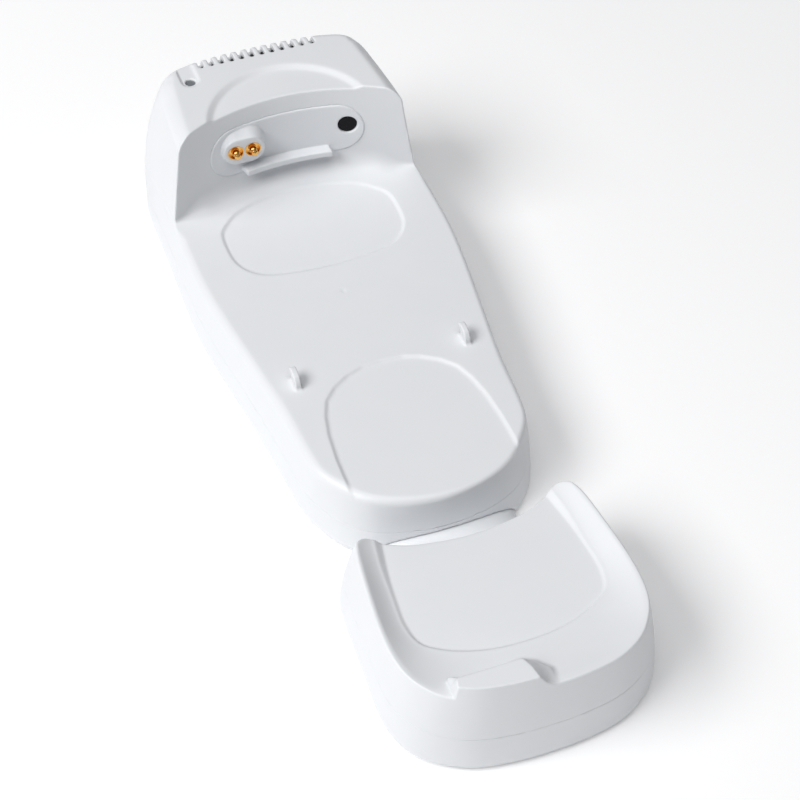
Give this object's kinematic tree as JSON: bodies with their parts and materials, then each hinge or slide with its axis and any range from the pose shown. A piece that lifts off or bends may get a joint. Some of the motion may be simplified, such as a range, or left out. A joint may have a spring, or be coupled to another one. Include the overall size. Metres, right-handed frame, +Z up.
{
  "type": "meter charging base",
  "caption": "White docking and charging base with a curved contact wall, a flat deck with two guide hooks, and a detachable front support.",
  "frame": {"origin": "on the table, under the middle of the bounding box of main unit and front support together", "axes": "+Z up, +Y to the rear (towards the housing), +X to the right seen from the front"},
  "size_m": [0.1188, 0.3487, 0.0736],
  "materials": {
    "white_shell": "fine moulded texture, cool white",
    "white_bezel": "smooth satin, cool white",
    "black_window": "polished infra-red filter",
    "grey_lens": "smoked translucent lens",
    "gold": "gold plating, turned",
    "spring_steel": "drawn wire",
    "board_green": "solder mask over glass fibre",
    "screw_steel": "zinc plating",
    "chip_black": "moulded epoxy",
    "flex_amber": "polyimide film",
    "can_aluminium": "sleeved can",
    "coil_copper": "wound enamelled wire on ferrite",
    "led_white": "moulded epoxy",
    "socket_steel": "tin-plated shield",
    "foot_rubber": "matt, dark grey"
  },
  "bodies": {
    "base": {"upper_shell": "white_shell", "dock_bezel": "white_bezel", "ir_window": "black_window", "light_pipe": "grey_lens", "contact_sleeves": "gold", "contact_spring_left": "spring_steel", "contact_spring_right": "spring_steel", "dock_board": "board_green", "dock_board_screws": "screw_steel", "ir_transceiver": "chip_black", "flex_cable": "flex_amber", "main_board": "board_green", "main_board_screws": "screw_steel", "controller_chips": "chip_black", "capacitors": "can_aluminium", "power_coil": "coil_copper", "status_led": "led_white", "power_inlet": "chip_black", "data_socket": "socket_steel", "bottom_cover": "white_shell", "cover_screws": "screw_steel", "rubber_feet": "foot_rubber"},
    "pin_left": {"contact_pin_left": "gold"},
    "pin_right": {"contact_pin_right": "gold"},
    "front_support": {"support_top": "white_shell", "support_base": "white_shell", "support_screws": "screw_steel", "support_feet": "foot_rubber"}
  },
  "joints": [
    {"name": "pin_left_slide", "type": "slide", "parent": "base", "child": "pin_left", "axis": [0, 1, 0], "range_m": [0, 0.003], "stiffness_N_per_m": 200, "springref_m": -0.002, "deforming": ["contact_spring_left"]},
    {"name": "pin_right_slide", "type": "slide", "parent": "base", "child": "pin_right", "axis": [0, 1, 0], "range_m": [0, 0.003], "stiffness_N_per_m": 200, "springref_m": -0.002, "deforming": ["contact_spring_right"]},
    {"name": "support_slide", "type": "slide", "parent": "base", "child": "front_support", "axis": [0, -1, 0], "range_m": [0, 0.045]}
  ]
}
